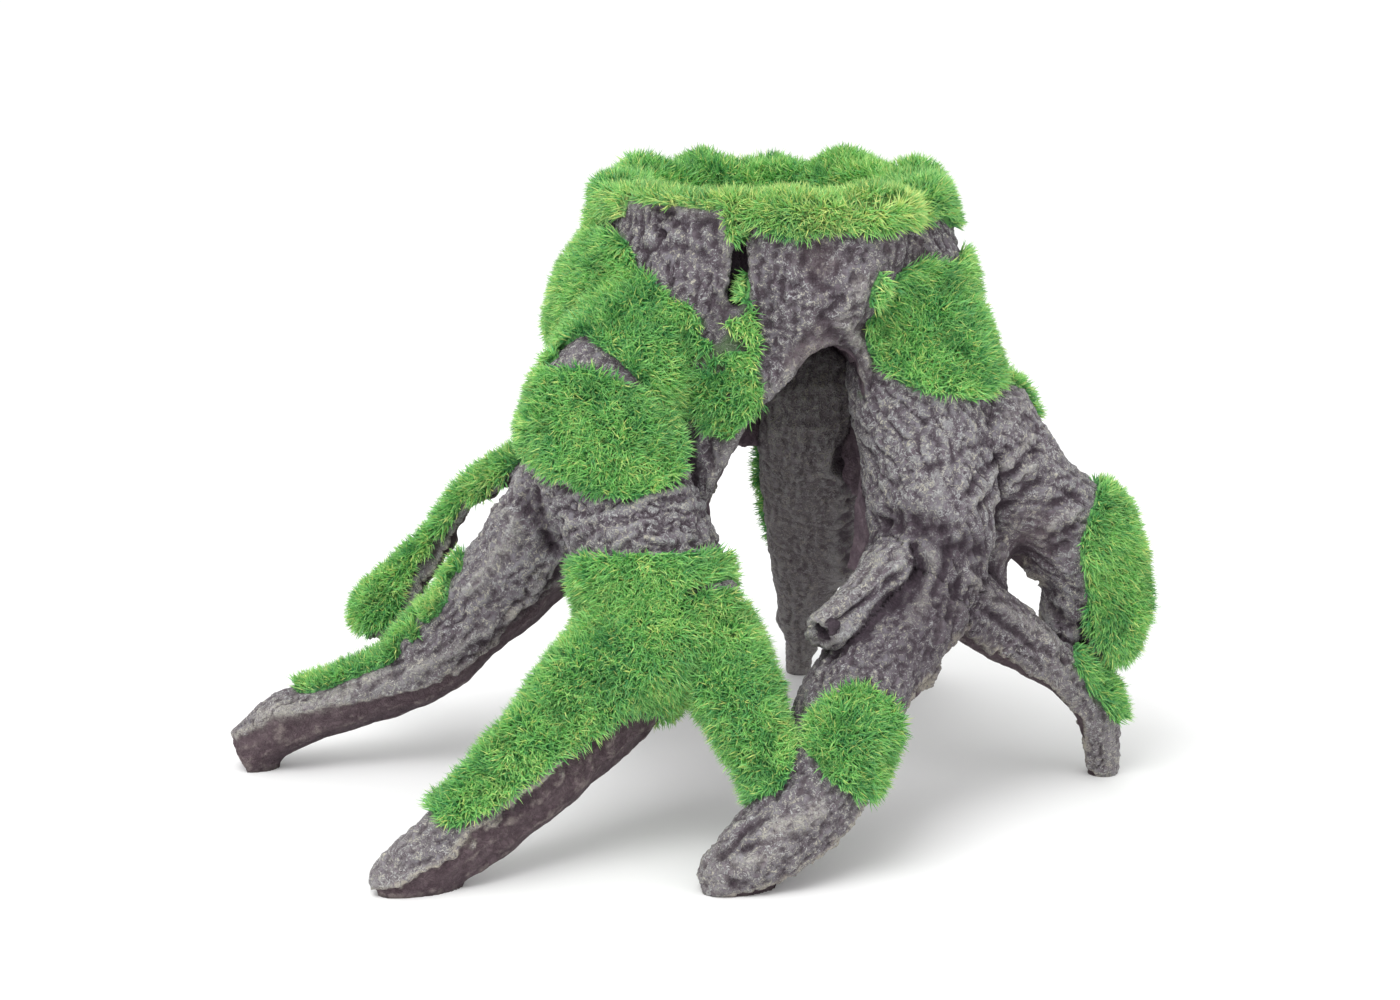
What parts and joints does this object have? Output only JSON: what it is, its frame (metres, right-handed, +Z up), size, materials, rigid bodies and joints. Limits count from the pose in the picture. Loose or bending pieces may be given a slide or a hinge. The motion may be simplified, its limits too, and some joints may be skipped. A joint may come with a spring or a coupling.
{
  "type": "aquarium cave ornament",
  "caption": "Hollow tree stump on splayed roots with green moss patches; an aquarium shelter fish enter between the roots.",
  "frame": {"origin": "centre of the footprint at the soles' height", "axes": "+X to the right seen from the front arch, +Y to the back, +Z up; the front arch faces -Y"},
  "size_m": [0.2796, 0.2222, 0.1838],
  "materials": {
    "bark": "cast polyresin, matt, purple-brown dry-brushed with light grey",
    "moss": "green flock fibres glued upright on a mat, matt"
  },
  "bodies": {
    "root": {"trunk_shell": "bark", "root_front_left": "bark", "root_front_left_fork": "bark", "root_right": "bark", "root_right_upper": "bark", "root_right_lower": "bark", "root_front_right": "bark", "stub_broken": "bark", "root_left_rear": "bark", "twig_left": "bark", "root_rear": "bark", "root_rear_right": "bark", "root_rear_left": "bark", "moss_crown": "moss", "moss_shoulder_left": "moss", "moss_knee_left": "moss", "moss_shin_left": "moss", "moss_fork": "moss", "moss_shoulder_right": "moss", "moss_knee_right": "moss", "moss_ankle_right": "moss", "moss_ankle_front": "moss", "moss_strip_left": "moss", "moss_twig": "moss", "moss_back": "moss", "moss_rear": "moss", "moss_rear_right": "moss"}
  },
  "joints": []
}
